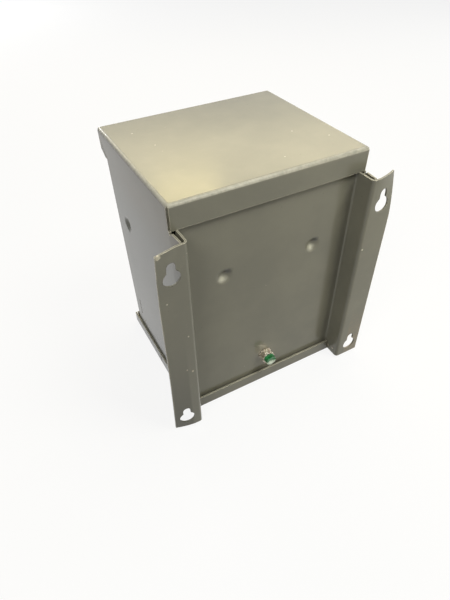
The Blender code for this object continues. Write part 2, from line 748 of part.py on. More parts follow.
def build_plate_screws():
    """Two screws in the wiring cover and four in the upper front plate."""
    sizes = (SCREW_RADIUS, SCREW_LENGTH, SCREW_COLLAR, SCREW_COLLAR_THICK, SCREW_FLATS, SCREW_HEAD,
             SCREW_SLOT, SCREW_SLOT_DEPTH)
    for side, hand in ((1, "left"), (-1, "right")):
        x = side * (WALL_OUT - SCREW_INSET)
        place = (x, PLATE_FRONT - FIT, COVER_SCREW_HEIGHT)
        hex_screw(f"cover_screw_{hand}", "-Y", place, zinc(), sizes)
        for row, height in enumerate(PANEL_SCREW_HEIGHTS, start=1):
            place = (x, PLATE_FRONT - FIT, height)
            hex_screw(f"panel_screw_{hand}_{row}", "-Y", place, zinc(), sizes)


def ring_prism(name, outer, hole_radius, low, high, axis, place, finish):
    """A nut or a washer: an outline with a round hole."""
    made = add_object(name, prism_mesh(name, outer, low, high, axis, place), finish)
    over = high - low
    cut(made, prism_mesh("bore", circle(hole_radius, SMALL_ROUND), low - over, high + over, axis, place))
    return made


def build_ground_screw():
    """Green ground screw over a spacer nut between two toothed washers, with a nut inside."""
    place = (GROUND_SIDE, PANEL_REAR, GROUND_HEIGHT)
    clear = GROUND_RADIUS + FIT
    tips = 2 * STAR_TEETH
    radii = [STAR_RADIUS if k % 2 else STAR_ROOT for k in range(tips)]
    teeth = [(r * math.cos(math.pi * k / STAR_TEETH), r * math.sin(math.pi * k / STAR_TEETH))
             for k, r in enumerate(radii)]
    stack = (("ground_lock_washer", teeth, STAR_THICK),
             ("ground_spacer_nut", hexagon(SPACER_FLATS), SPACER_THICK),
             ("ground_head_washer", teeth, STAR_THICK))
    seat = 0
    for name, outline, thick in stack:
        low = seat + FIT
        seat = low + thick
        ring_prism(name, outline, clear, low, seat, "+Y", place, yellow_zinc())
    inner = SHEET + FIT
    ring_prism("ground_inner_nut", hexagon(INNER_NUT_FLATS), clear, inner, inner + INNER_NUT_THICK, "-Y",
               place, zinc())
    under = seat + FIT
    sizes = (GROUND_RADIUS, under + GROUND_INSIDE, GROUND_COLLAR, GROUND_COLLAR_THICK, GROUND_FLATS,
             GROUND_HEAD, GROUND_SLOT, GROUND_SLOT_DEPTH)
    place = (GROUND_SIDE, PANEL_REAR + under, GROUND_HEIGHT)
    hex_screw("ground_screw", "+Y", place, green_finish(), sizes, turn=GROUND_TURN, dish=GROUND_DISH)


def build_divider():
    """Plate between the wiring compartment and the compound, with turned-down lips."""
    middle = SHEET / 2
    front = RETURN_BACK + BEND_RADIUS + FIT + middle
    rear = INSIDE_REAR - middle
    height = DIVIDER_HEIGHT + middle
    foot = DIVIDER_HEIGHT - DIVIDER_LIP
    path = [(front, foot), (front, height), (rear, height), (rear, foot)]
    mesh = side_prism("divider_plate", folded_outline(path, SHEET), -INSIDE_HALF, INSIDE_HALF)
    plate = add_object("divider_plate", mesh, grey_paint())
    for side in (1, -1):
        hole = circle(BUSHING_HOLE, ROUND, bushing_centre(side))
        cut(plate, prism_mesh("bushing_hole", hole, DIVIDER_HEIGHT - SHEET, DIVIDER_TOP + SHEET))
        for face in (1, -1):
            x, y = bracket_screw_place(side, face)
            hole = circle(SCREW_HOLE, SMALL_ROUND, (x, y))
            cut(plate, prism_mesh("foot_hole", hole, DIVIDER_HEIGHT - SHEET, DIVIDER_TOP + SHEET))
    return plate


def bushing_centre(side):
    """Where a group of leads passes the divider, as (x, y)."""
    return (side * LEAD_GROUPS_ACROSS / 2, CORE_Y - LEADS_FORWARD)


def build_bushings():
    """Plastic bushings that line the lead holes."""
    bore = BUSHING_HOLE - FIT - BUSHING_WALL
    neck = BUSHING_HOLE - FIT
    flange = BUSHING_HOLE + BUSHING_FLANGE
    top = DIVIDER_TOP + FIT
    profile = [(bore, DIVIDER_HEIGHT - BUSHING_DEPTH), (neck, DIVIDER_HEIGHT - BUSHING_DEPTH), (neck, top),
               (flange, top), (flange, top + BUSHING_WALL), (bore, top + BUSHING_WALL)]
    for side, hand in ((1, "left"), (-1, "right")):
        mesh = turned_mesh(f"lead_bushing_{hand}", profile, "+Z", (*bushing_centre(side), 0))
        add_object(f"lead_bushing_{hand}", mesh, moulded_nylon(), smooth=True)


def build_compound():
    """Potting compound cast round the core and coil, open to the divider below."""
    low = (-INSIDE_HALF, COMPOUND_FRONT, DIVIDER_TOP + FIT)
    mesh = box_mesh("potting_compound", low, (INSIDE_HALF, INSIDE_REAR, COMPOUND_TOP))
    block = add_object("potting_compound", mesh, compound())
    pocket = COMPOUND_POCKET
    below = DIVIDER_HEIGHT
    core_y = CORE_FACE + CLAMP_SHEET + BOLT_HEAD + BOLT_TAIL
    coil_y = CORE_FACE + WINDOW_WIDTH
    rooms = [(CORE_HALF + pocket, core_y + pocket, CORE_HEAD + pocket),
             (TONGUE / 2 + WINDOW_WIDTH + pocket, coil_y + pocket, CORE_HEAD - YOKE / 2),
             (CORE_HALF + pocket, LEADS_FORWARD + BUSHING_HOLE + BUSHING_FLANGE + pocket, WINDOW_FOOT)]
    for half_x, half_y, head in rooms:
        low = (-half_x, CORE_Y - half_y, below)
        cut(block, box_mesh("core_room", low, (half_x, CORE_Y + half_y, head)))
    relief = DIMPLE / 2 + pocket
    deep = DIMPLE_DEPTH + SHEET + WALL_LEAN + pocket
    for side in (1, -1):
        axis = "-X" if side > 0 else "+X"
        place = (side * WALL_OUT, -WALL_DIMPLE_FORWARD, CASE_HEIGHT - WALL_DIMPLE_DROP)
        cut(block, prism_mesh("wall_relief", circle(relief, SMALL_ROUND), -deep, deep, axis, place))
        place = (side * PANEL_DIMPLE_ACROSS / 2, PANEL_REAR, CASE_HEIGHT - PANEL_DIMPLE_DROP)
        cut(block, prism_mesh("panel_relief", circle(relief, SMALL_ROUND), -deep, deep, "-Y", place))
    return block


def bolt_heights():
    """Heights of the lower and the upper core bolts."""
    return (CORE_FOOT + YOKE / 2, CORE_HEAD - YOKE / 2)


def build_core():
    """The E stack with its three legs, and the I stack that closes it."""
    shelf = CORE_HEAD - YOKE - FIT
    tongue = TONGUE / 2
    inner = tongue + WINDOW_WIDTH
    outline = [(-CORE_HALF, CORE_FOOT), (CORE_HALF, CORE_FOOT), (CORE_HALF, shelf), (inner, shelf),
               (inner, WINDOW_FOOT), (tongue, WINDOW_FOOT), (tongue, shelf), (-tongue, shelf),
               (-tongue, WINDOW_FOOT), (-inner, WINDOW_FOOT), (-inner, shelf), (-CORE_HALF, shelf)]
    flipped = [(x, -z) for x, z in outline]
    place = (0, CORE_Y, 0)
    e_mesh = prism_mesh("core_e_stack", flipped, -CORE_FACE, CORE_FACE, "+Y", place)
    e_stack = add_object("core_e_stack", e_mesh, core_steel())
    low = (-CORE_HALF, CORE_Y - CORE_FACE, CORE_HEAD - YOKE)
    i_mesh = box_mesh("core_i_stack", low, (CORE_HALF, CORE_Y + CORE_FACE, CORE_HEAD))
    i_stack = add_object("core_i_stack", i_mesh, core_steel())
    for stack, height in zip((e_stack, i_stack), bolt_heights()):
        for side in (1, -1):
            cut(stack, bolt_hole(side, height))


def bolt_hole(side, height):
    """A core bolt's clearance hole, through everything it clamps."""
    place = (side * BOLT_X, CORE_Y, height)
    return prism_mesh("bolt_hole", circle(BOLT_HOLE, SMALL_ROUND), -STACK, STACK, "+Y", place)


def bracket_screw_place(side, face):
    """Centre of a bracket's foot screw as (x, y)."""
    y = CORE_Y + face * (CORE_FACE + FIT + CLAMP_SHEET + BRACKET_FOOT * 0.55)
    return (side * BOLT_X, y)


def build_core_bracket(side, face, name):
    """Angle bracket that bolts to the core and stands on the divider."""
    middle = CLAMP_SHEET / 2
    leg_y = CORE_Y + face * (CORE_FACE + FIT + middle)
    foot_z = DIVIDER_TOP + FIT + middle
    path = [(leg_y, CORE_FOOT + YOKE * 0.85), (leg_y, foot_z), (leg_y + face * BRACKET_FOOT, foot_z)]
    low = side * BOLT_X - BRACKET_WIDTH / 2
    mesh = side_prism(name, folded_outline(path, CLAMP_SHEET), low, low + BRACKET_WIDTH)
    bracket = add_object(name, mesh, zinc())
    cut(bracket, bolt_hole(side, bolt_heights()[0]))
    x, y = bracket_screw_place(side, face)
    hole = circle(SCREW_HOLE, SMALL_ROUND, (x, y))
    cut(bracket, prism_mesh("foot_hole", hole, DIVIDER_TOP - SHEET, DIVIDER_TOP + 3 * CLAMP_SHEET))
    place = (x, y, DIVIDER_TOP + 2 * FIT + CLAMP_SHEET)
    sizes = (SCREW_RADIUS, SCREW_LENGTH, SCREW_COLLAR, SCREW_COLLAR_THICK, SCREW_FLATS, SCREW_HEAD,
             SCREW_SLOT, SCREW_SLOT_DEPTH)
    hex_screw(name.replace("bracket", "foot_screw"), "+Z", place, zinc(), sizes)


def build_core_clamp(face, name):
    """Bar across the I stack, under the upper bolts."""
    near = CORE_Y + face * (CORE_FACE + FIT)
    far = near + face * CLAMP_SHEET
    middle = bolt_heights()[1]
    low_y, high_y = sorted((near, far))
    low = (-CORE_HALF, low_y, middle - CLAMP_HEIGHT / 2)
    bar = add_object(name, box_mesh(name, low, (CORE_HALF, high_y, middle + CLAMP_HEIGHT / 2)), zinc())
    for side in (1, -1):
        cut(bar, bolt_hole(side, middle))


def build_core_bolt(side, level, tag):
    """A hex bolt through the core, its nut at the front."""
    place = (side * BOLT_X, CORE_Y, bolt_heights()[level])
    seat = CORE_FACE + 2 * FIT + CLAMP_SHEET
    tail = -seat - BOLT_TAIL
    under_head = seat + BOLT_HEAD / 2
    profile = [(0, tail), (BOLT_RADIUS, tail), (BOLT_RADIUS, under_head), (0, under_head)]
    mesh = turned_mesh("core_bolt", profile, "+Y", place, SMALL_ROUND)
    bolt = add_object(f"core_bolt_{tag}", mesh, zinc(), smooth=True)
    join(bolt, prism_mesh("bolt_head", hexagon(BOLT_FLATS), seat, seat + BOLT_HEAD, "+Y", place))
    ring_prism(f"core_nut_{tag}", hexagon(BOLT_FLATS), BOLT_RADIUS + FIT, seat, seat + NUT_THICK, "-Y",
               place, zinc())


def build_core_hardware():
    """Brackets, clamps, bolts and nuts of the core."""
    for face, end in ((-1, "front"), (1, "rear")):
        build_core_clamp(face, f"core_clamp_{end}")
        for side, hand in ((1, "left"), (-1, "right")):
            build_core_bracket(side, face, f"core_bracket_{end}_{hand}")
    for level, tier in enumerate(("lower", "upper")):
        for side, hand in ((1, "left"), (-1, "right")):
            build_core_bolt(side, level, f"{tier}_{hand}")


def rounded_rectangle(half_x, half_y, radius, steps=3):
    """Points of a rectangle with round corners."""
    points = []
    for index, (sx, sy) in enumerate(((1, 1), (-1, 1), (-1, -1), (1, -1))):
        centre = (sx * (half_x - radius), sy * (half_y - radius))
        points += arc(centre, radius, 90 * index, 90 * index + 90, steps)
    return points


def coil_ring(name, profile, finish):
    """A ring round the core's tongue; the profile gives (offset from the tongue, height)."""
    shape = bmesh.new()
    loops = []
    for offset, height in profile:
        corner = max(offset, COIL_CORNER / 8)
        points = rounded_rectangle(TONGUE / 2 + offset, CORE_FACE + offset, corner)
        loops.append([shape.verts.new((x, y + CORE_Y, height)) for x, y in points])
    for lower, upper in zip(loops, loops[1:] + loops[:1]):
        for k in range(len(lower)):
            n = (k + 1) % len(lower)
            shape.faces.new((lower[k], lower[n], upper[n], upper[k]))
    return add_object(name, finish_mesh(shape, name), finish, smooth=True)


def layered(inner, outer, low, high, turns):
    """Profile of a winding whose outer face shows its rows of wire."""
    pitch = (high - low) / turns
    profile = [(inner, low)]
    for row in range(turns):
        base = low + row * pitch
        profile += [(outer - WIRE_RELIEF, base), (outer, base + pitch * 0.3), (outer, base + pitch * 0.7)]
    profile += [(outer - WIRE_RELIEF, high), (inner, high)]
    return profile


def build_coil():
    """Bobbin, two windings, the insulation between them and the outer wrap."""
    low = WINDOW_FOOT + BOBBIN_END_GAP
    high = CORE_HEAD - YOKE - FIT - BOBBIN_END_GAP
    wall = BOBBIN_WALL
    bore = BOBBIN_SLIDE
    tube = bore + wall
    rim = WINDOW_WIDTH - FIT
    bobbin = [(bore, low), (rim, low), (rim, low + wall), (tube, low + wall), (tube, high - wall),
              (rim, high - wall), (rim, high), (bore, high)]
    coil_ring("coil_bobbin", bobbin, moulded_nylon())
    foot = low + wall + FIT
    head = high - wall - FIT
    inner = tube + FIT
    outer = inner + PRIMARY_BUILD
    coil_ring("primary_winding", layered(inner, outer, foot, head, PRIMARY_LAYERS), copper())
    inner = outer + FIT
    outer = inner + INSULATION
    sleeve = [(inner, foot), (outer, foot), (outer, head), (inner, head)]
    coil_ring("winding_insulation", sleeve, insulation_paper())
    inner = outer + FIT
    outer = inner + SECONDARY_BUILD
    coil_ring("secondary_winding", layered(inner, outer, foot, head, SECONDARY_LAYERS), copper())
    inner = outer + FIT
    outer = inner + WRAP
    wrap = [(inner, foot), (outer, foot), (outer, head), (inner, head)]
    coil_ring("coil_wrap", wrap, insulation_paper())


def lead_route(side, index):
    """A lead's path: down through its bushing, then fanned out in the compartment."""
    cx, cy = bushing_centre(side)
    start_x = cx + side * (index % 2 - 0.5) * LEAD_PITCH
    start_y = cy + (index // 2 - 0.5) * LEAD_PITCH
    order = (index % 2) * 2 + index // 2
    end_x = side * (LEAD_END_PITCH / 2 + LEAD_END_PITCH * order)
    end_y = cy - LEAD_END_FORWARD + (index // 2) * LEAD_END_FORWARD
    bend = DIVIDER_HEIGHT - BUSHING_DEPTH - LEAD_PITCH
    points = [(start_x, start_y, LEAD_TOP), (start_x, start_y, bend)]
    for k in range(1, LEAD_STEPS + 1):
        t = k / LEAD_STEPS
        ease = t * t * (3 - 2 * t)
        points.append((start_x + (end_x - start_x) * ease, start_y + (end_y - start_y) * ease,
                       bend + (LEAD_END_HEIGHT - bend) * t))
    return points


def build_leads():
    """Four primary leads at the left and four secondary leads at the right."""
    groups = ((1, "primary", lead_sleeve("lead_black", (0.02, 0.02, 0.02))),
              (-1, "secondary", lead_sleeve("lead_red", (0.35, 0.03, 0.02))))
    for side, winding, finish in groups:
        for index in range(4):
            name = f"{winding}_lead_{index + 1}"
            curve = bpy.data.curves.new(name, "CURVE")
            curve.dimensions = "3D"
            curve.bevel_depth = LEAD_RADIUS
            curve.bevel_resolution = 2
            curve.use_fill_caps = True
            route = lead_route(side, index)
            spline = curve.splines.new("POLY")
            spline.points.add(len(route) - 1)
            for point, place in zip(spline.points, route):
                point.co = (*place, 1)
            made = bpy.data.objects.new(name, curve)
            bpy.context.scene.collection.objects.link(made)
            made.parent = bpy.data.objects["case_frame"]
            curve.materials.append(finish)


def main():
    for old in list(bpy.data.objects):
        bpy.data.objects.remove(old, do_unlink=True)
    holder = bpy.data.objects.new("case_frame", None)
    holder.location = (0, CASE_SHIFT, 0)
    bpy.context.scene.collection.objects.link(holder)
    build_top_cover()
    build_rear_panel()
    build_bottom_pan()
    build_front_panel()
    build_wiring_cover()
    build_plate_screws()
    build_ground_screw()
    build_divider()
    build_bushings()
    build_compound()
    build_core()
    build_core_hardware()
    build_coil()
    build_leads()


main()
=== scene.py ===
"""Looks of the buck boost transformer: worn grey enamel, plated hardware and the photograph's view.

Metres, +Z up, in the frame of the CAD nodes. The mounting flanges face +Y. Left and right are as
seen from behind, so left is +X. Places and sizes of marks and grains are in millimetres.
"""
import json
import math
from functools import cached_property

import bpy
from mathutils import Matrix, Vector

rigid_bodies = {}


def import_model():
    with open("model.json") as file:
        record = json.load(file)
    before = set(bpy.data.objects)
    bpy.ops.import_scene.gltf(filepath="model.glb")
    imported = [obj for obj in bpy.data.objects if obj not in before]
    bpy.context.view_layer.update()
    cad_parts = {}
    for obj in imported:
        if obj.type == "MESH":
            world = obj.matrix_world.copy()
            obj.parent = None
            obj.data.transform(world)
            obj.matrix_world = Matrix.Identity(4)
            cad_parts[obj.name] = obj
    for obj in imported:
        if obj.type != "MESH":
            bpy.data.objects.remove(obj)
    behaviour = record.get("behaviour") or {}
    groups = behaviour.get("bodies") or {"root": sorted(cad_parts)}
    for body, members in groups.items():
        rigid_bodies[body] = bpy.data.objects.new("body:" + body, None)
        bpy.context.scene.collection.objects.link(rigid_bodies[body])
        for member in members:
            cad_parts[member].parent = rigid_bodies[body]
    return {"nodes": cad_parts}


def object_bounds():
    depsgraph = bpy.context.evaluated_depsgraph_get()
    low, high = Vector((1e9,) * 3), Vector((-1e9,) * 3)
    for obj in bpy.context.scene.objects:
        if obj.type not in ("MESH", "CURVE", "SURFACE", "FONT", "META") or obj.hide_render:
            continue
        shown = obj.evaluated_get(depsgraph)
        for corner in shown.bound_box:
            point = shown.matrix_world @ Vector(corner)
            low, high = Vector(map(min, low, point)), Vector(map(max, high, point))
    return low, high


MM = 0.001

# The photograph's camera, solved from the case's corners: angles in degrees, lens in millimetres
CAMERA_PLACE = (0.17542, 0.30980, 0.38638)
AZIMUTH = 152.0
ELEVATION = 42.711
ROLL = 1.195
LENS = 28.318
SENSOR_HEIGHT = 36.0
CLIP_START = 0.01

# Lamps that aim at the middle of the object: place, size, power in watts and colour. The last two
# are those that the lid mirrors.
LAMPS = {
    "overhead": ((-0.40, -0.18, 1.25), (0.5, 0.5), 3.5, (1.0, 0.93, 0.78)),
    "rear right": ((-0.40, 0.50, 1.20), (0.5, 0.5), 7.0, (1.0, 1.0, 0.88)),
    "rear left": ((0.70, 0.50, 1.00), (0.4, 0.4), 4.0, (1.0, 0.98, 0.88)),
    "rear low": ((-0.30, 0.42, 0.16), (0.2, 0.2), 0.38, (1.0, 0.94, 0.70)),
    "front": ((0.30, -2.00, 0.45), (0.9, 0.5), 13.0, (1.0, 0.99, 0.95)),
    "right": ((-1.60, -0.15, 0.45), (0.9, 0.5), 6.0, (1.0, 0.99, 0.95)),
    "lid strip": ((-0.42, -1.04, 0.85), (1.3, 0.28), 4.3, (1.0, 0.87, 0.54)),
    "lid sparkle": ((-0.322, -0.853, 0.806), (0.19, 0.08), 0.36, (1.0, 0.82, 0.33)),
}

# The floor as it is seen: how much of it glows white, and the colour of the rest, which takes the shadow
FLOOR_HALF = 3.0
FLOOR_GLOW = 0.87
FLOOR_SEEN = 0.95
# The floor's colour for the light that it throws back at the object, and the sky's light on the object
FLOOR_BOUNCE = 0.25
SKY_LIGHT = 0.02

# Smoothing of the CAD meshes: how near vertices weld, which angle stays sharp, and the weight of large faces
WELD_DISTANCE = 0.002 * MM
SHARP_ANGLE = math.radians(32)
FLAT_WEIGHT = 100

# Paint colours, linear
ENAMEL = (0.280, 0.273, 0.228)
ENAMEL_PALE = (0.306, 0.298, 0.246)
ENAMEL_DARK = (0.250, 0.245, 0.208)
# Bare metal in the chips, and bare metal with a painted highlight on the cut edges
BARE_METAL_AND_EDGE_HIGHLIGHT = (0.88, 0.83, 0.69)
DUST = (0.46, 0.42, 0.33)
# A warm paler tone: painted light low on the right flange
WARM_PAINTED_LIGHT = (0.42, 0.33, 0.23)
RUST = (0.20, 0.075, 0.03)
# Dark grime in the grain, specks and smudges, and painted shade on the dimples, keyholes and left flange
GRIME_AND_SHADE = (0.07, 0.066, 0.055)
SPECK = (0.75, 0.72, 0.62)
SPECKLE = (0.75, 0.71, 0.60)
# The pale of the painted highlight along the lid's bends
BEND_HIGHLIGHT_PALE = (0.64, 0.62, 0.54)
# The pale of the painted highlight on the dimples' lower sides
DIMPLE_HIGHLIGHT_PALE = (0.70, 0.69, 0.60)
# The side walls' film: dirt, with a painted reflection tint that is brown high up and bluish low
FILM_AND_REFLECTION_HIGH = (0.175, 0.145, 0.095)
FILM_AND_REFLECTION_LOW = (0.180, 0.195, 0.195)

# The other finishes as a light and a dark tone, and the tints that lie over them
BRIGHT_ZINC = ((0.66, 0.67, 0.66), (0.45, 0.46, 0.47))
YELLOW_ZINC = ((0.92, 0.87, 0.77), (0.62, 0.53, 0.42))
YELLOW_ZINC_TINT = (0.42, 0.10, 0.09)
GREEN_DYE = ((0.012, 0.300, 0.075), (0.004, 0.150, 0.034))
GREEN_THIN = (0.42, 0.62, 0.42)
# A painted highlight: the pale glare low on the screw head's end face
GREEN_SCREW_GLARE = (0.80, 0.88, 0.78)
CORE_STEEL = ((0.24, 0.24, 0.25), (0.14, 0.14, 0.15))
COPPER_WIRE = ((0.50, 0.19, 0.08), (0.33, 0.11, 0.04))
PAPER = ((0.56, 0.46, 0.29), (0.46, 0.37, 0.22))
NYLON = ((0.05, 0.05, 0.05), (0.03, 0.03, 0.03))
COMPOUND = ((0.08, 0.072, 0.062), (0.045, 0.042, 0.038))
BLACK_SLEEVE = ((0.025, 0.025, 0.027), (0.015, 0.015, 0.016))
RED_SLEEVE = ((0.36, 0.030, 0.022), (0.27, 0.020, 0.015))

# Spans of a noise's values: where two tones blend, and where most of the values lie
TONES = (0.35, 0.68)
MOST = (0.3, 0.7)

# Spans of a face's normal: how far it points sideways on a wall, and how far up on a bend of the lid,
# which starts near 1 at the top and near 0 at the lip
WALL_SIDEWAYS = (0.75, 0.95)
BEND_FROM_TOP = (0.9995, 0.985)
BEND_FROM_LIP = (0.10, 0.40)

# Zones of dirt, painted reflection tint, painted shade and light on the flanges, and painted highlight on
# the lid's bends, each from where it starts to where it is full
WALL_INSIDE = (80.0, 81.5)
WALL_OUTSIDE = (87.0, 86.0)
FILM_AND_REFLECTION_TURN_BROWN = (165.0, 205.0)
FLANGE_ACROSS = (86.5, 89.0)
LEFT_FLANGE_PAINTED_SHADE = (140.0, 10.0)
RIGHT_FLANGE_PAINTED_LIGHT = (75.0, 15.0)
LID_BENDS = (219.5, 221.5)

# The ground screw's head: its end face along Y, and the height of its middle
HEAD_FACE = 60.9
HEAD_MIDDLE = 35.0

# Faces that carry marks: the lid's top, the flanges' rear, the panel's dimples and the left wall's foot
LID_Z = 227.2
FLANGE_Y = 78.3
DIMPLE_Y = 57.5
WALL_X = 82.3

# Marks on the enamel as (centre, radii)
CHIPS = [
    ((101.6, 82.4, 205.6), (2.2, 2.5, 2.0)),
    ((98.3, FLANGE_Y, 161.0), (0.6, 2.0, 0.6)),
    ((84.6, FLANGE_Y, 120.9), (0.6, 2.0, 0.7)),
    ((83.7, FLANGE_Y, 78.7), (0.8, 2.0, 1.3)),
    ((88.6, FLANGE_Y, 82.6), (0.6, 2.0, 0.9)),
    ((-78.4, 64.3, 8.2), (2.0, 1.3, 1.3)),
    ((-78.4, 71.0, 9.8), (2.0, 1.5, 1.3)),
    ((-82.2, FLANGE_Y, 141.2), (0.9, 2.0, 0.9)),
    ((WALL_X, -49.9, 23.6), (3.0, 1.9, 2.6)),
    ((WALL_X, -41.3, 23.5), (3.0, 1.5, 1.9)),
]
LID_SPECKS = [
    ((64.1, -54.0, LID_Z), (0.8, 0.7, 2.0)),
    ((56.2, -24.7, LID_Z), (0.6, 0.7, 2.0)),
    ((-49.5, 8.1, LID_Z), (0.7, 0.8, 2.0)),
    ((-70.3, 29.4, LID_Z), (0.7, 0.6, 2.0)),
    ((-19.2, 42.7, LID_Z), (0.6, 0.6, 2.0)),
]
WALL_SMUDGES = [
    ((WALL_X, -13.2, 30.4), (3.0, 3.2, 2.2)),
]
# Painted shade on the upper side of the panel's two pressed dimples, and a painted highlight on their lower
# side
DIMPLE_PAINTED_SHADE = [
    ((38.9, DIMPLE_Y, 153.2), (4.2, 4.0, 3.4)),
    ((-44.4, DIMPLE_Y, 153.6), (3.9, 4.0, 3.2)),
]
DIMPLE_PAINTED_HIGHLIGHTS = [
    ((43.6, DIMPLE_Y, 146.4), (4.6, 4.0, 3.0)),
    ((-41.4, DIMPLE_Y, 146.5), (3.8, 4.0, 3.0)),
]
# The keyholes, whose cut edges get painted shade instead of the pale edge
KEYHOLE_REACH = (11.0, 7.0, 17.0)
KEYHOLE_MIDDLES = [(93.2, 184.8), (94.1, 20.9), (-90.2, 188.9), (-93.7, 22.2)]
KEYHOLES = [((x, FLANGE_Y, z), KEYHOLE_REACH) for x, z in KEYHOLE_MIDDLES]

# How far a mark reaches, in its radii, from where it starts to where it is full, and how uneven its edge is
CRISP = (1.55, 1.15)
SOFT = (1.80, 0.65)
SPECKLE_REACH = (1.4, 0.7)
UNEVEN = 0.9

# How much brighter the edges of plated pieces are than their light tone
EDGE_SHINE = 1.35


class Graph:
    """The node tree of a material or a world, built by calls."""

    def __init__(self, owner):
        owner.use_nodes = True
        self.owner = owner
        self.tree = owner.node_tree
        self.tree.nodes.clear()

    @cached_property
    def place(self):
        """The point's place on its piece, in metres."""
        return self.node("ShaderNodeTexCoord").outputs["Object"]

    def node(self, kind, inputs=(), **settings):
        """Add a node; the inputs are (socket, value or output) pairs."""
        made = self.tree.nodes.new(kind)
        for key, value in settings.items():
            setattr(made, key, value)
        for socket, value in inputs:
            self.feed(made.inputs[socket], value)
        return made

    def feed(self, socket, value):
        """Link an output to a socket, or set the socket's own value."""
        if isinstance(value, bpy.types.NodeSocket):
            self.tree.links.new(value, socket)
        else:
            socket.default_value = value

    def math(self, operation, a, b=0.0):
        return self.node("ShaderNodeMath", [(0, a), (1, b)], operation=operation).outputs[0]

    def product(self, first, *others):
        for other in others:
            first = self.math("MULTIPLY", first, other)
        return first

    def vector(self, operation, a, b=(0, 0, 0)):
        made = self.node("ShaderNodeVectorMath", [(0, a), (1, b)], operation=operation)
        return made.outputs["Value" if operation in {"LENGTH", "DOT_PRODUCT"} else "Vector"]

    def split(self, vector):
        """A vector's X, Y and Z."""
        return self.node("ShaderNodeSeparateXYZ", [(0, vector)]).outputs

    def face_normal(self):
        return self.node("ShaderNodeNewGeometry").outputs["Normal"]

    def ramp(self, value, span, to=(0.0, 1.0)):
        """Smooth step over a span of a value."""
        pairs = [("Value", value), ("From Min", span[0]), ("From Max", span[1])]
        pairs += [("To Min", to[0]), ("To Max", to[1])]
        return self.node("ShaderNodeMapRange", pairs, interpolation_type="SMOOTHSTEP").outputs[0]

    def zone(self, place, span):
        """Smooth step over a span of a place, which is given in millimetres."""
        return self.ramp(place, tuple(v * MM for v in span))

    def noise(self, size, detail=2.0, roughness=0.5):
        """Noise whose features are about the size given, in millimetres."""
        pairs = [("Vector", self.place), ("Scale", 1 / (size * MM))]
        pairs += [("Detail", detail), ("Roughness", roughness)]
        return self.node("ShaderNodeTexNoise", pairs).outputs["Fac"]

    def mix(self, factor, under, over):
        """Mix two colours."""
        made = self.node("ShaderNodeMix", data_type="RGBA")
        sockets = [socket for socket in made.inputs if socket.enabled]
        for socket, value in zip(sockets, (factor, under, over)):
            self.feed(socket, (*value, 1) if isinstance(value, tuple) else value)
        return [socket for socket in made.outputs if socket.enabled][0]

    def lay(self, under, over, mask, share):
        """Lay a colour over another through a mask, at a share of full cover."""
        return self.mix(self.product(mask, share), under, over)

    def speckles(self, spacing, radius, share):
        """Tiny round specks, one in a share of the cells of scattered points."""
        pairs = [("Vector", self.place), ("Scale", 1 / (spacing * MM)), ("Randomness", 1.0)]
        cells = self.node("ShaderNodeTexVoronoi", pairs)
        chance = self.node("ShaderNodeSeparateColor", [(0, cells.outputs["Color"])]).outputs[0]
        near = self.ramp(cells.outputs["Distance"], tuple(v * radius / spacing for v in SPECKLE_REACH))
        return self.product(near, self.math("LESS_THAN", chance, share))

    def marks(self, places, wobble, reach=CRISP):
        """Soft blots at the places given, their edges broken by a noise."""
        total = 0.0
        for centre, radii in places:
            offset = self.vector("SUBTRACT", self.place, tuple(v * MM for v in centre))
            scaled = self.vector("MULTIPLY", offset, tuple(1 / (v * MM) for v in radii))
            distance = self.math("ADD", self.vector("LENGTH", scaled), self.product(wobble, UNEVEN))
            total = self.math("MAXIMUM", self.ramp(distance, reach), total)
        return total

    def rounded_normal(self, radius):
        """The normal of a surface whose edges are rounded off, by a radius in millimetres."""
        return self.node("ShaderNodeBevel", [("Radius", radius * MM)], samples=6).outputs[0]

    def edge(self, rounded, span):
        """1 on sharp edges, 0 on flats, from how far the rounded normal leans."""
        upright = self.vector("DOT_PRODUCT", self.face_normal(), rounded)
        return self.ramp(self.math("SUBTRACT", 1.0, upright), span)

    def bump(self, relief, depth, *normal):
        """The relief's normal, for a depth in millimetres, on top of another normal if one is given."""
        pairs = [("Height", relief), ("Distance", depth * MM)]
        pairs += [("Normal", value) for value in normal]
        return self.node("ShaderNodeBump", pairs).outputs[0]

    def seen(self):
        """1 for the eye, for reflections and through glass, 0 for the light that falls on the object."""
        rays = self.node("ShaderNodeLightPath").outputs
        seen = self.math("MAXIMUM", rays["Is Camera Ray"], rays["Is Glossy Ray"])
        return self.math("MAXIMUM", seen, rays["Is Transmission Ray"])

    def blend(self, factor, first, second):
        """Mix two shaders."""
        pairs = [(0, factor), (1, first.outputs[0]), (2, second.outputs[0])]
        return self.node("ShaderNodeMixShader", pairs)

    def finish(self, shader, output="ShaderNodeOutputMaterial"):
        """Make the shader the surface, and hand back what the tree belongs to."""
        self.node(output, [("Surface", shader.outputs[0])])
        return self.owner

    def principled(self, **inputs):
        """Finish with a Principled shader, whose sockets are named with low lines for spaces."""
        pairs = [(socket.replace("_", " "), value) for socket, value in inputs.items()]
        return self.finish(self.node("ShaderNodeBsdfPrincipled", pairs))


def new_material(name):
    return Graph(bpy.data.materials.new(name))


def base_coat(g, broad, fine):
    """Grey enamel in two tones, with a little dust and grain."""
    colour = g.mix(g.ramp(broad, TONES), ENAMEL_DARK, ENAMEL_PALE)
    colour = g.mix(0.45, colour, ENAMEL)
    grain = g.noise(0.9, roughness=0.7)
    colour = g.lay(colour, DUST, g.ramp(fine, (0.55, 0.85)), 0.10)
    return g.lay(colour, GRIME_AND_SHADE, g.ramp(grain, (0.64, 0.85)), 0.12)


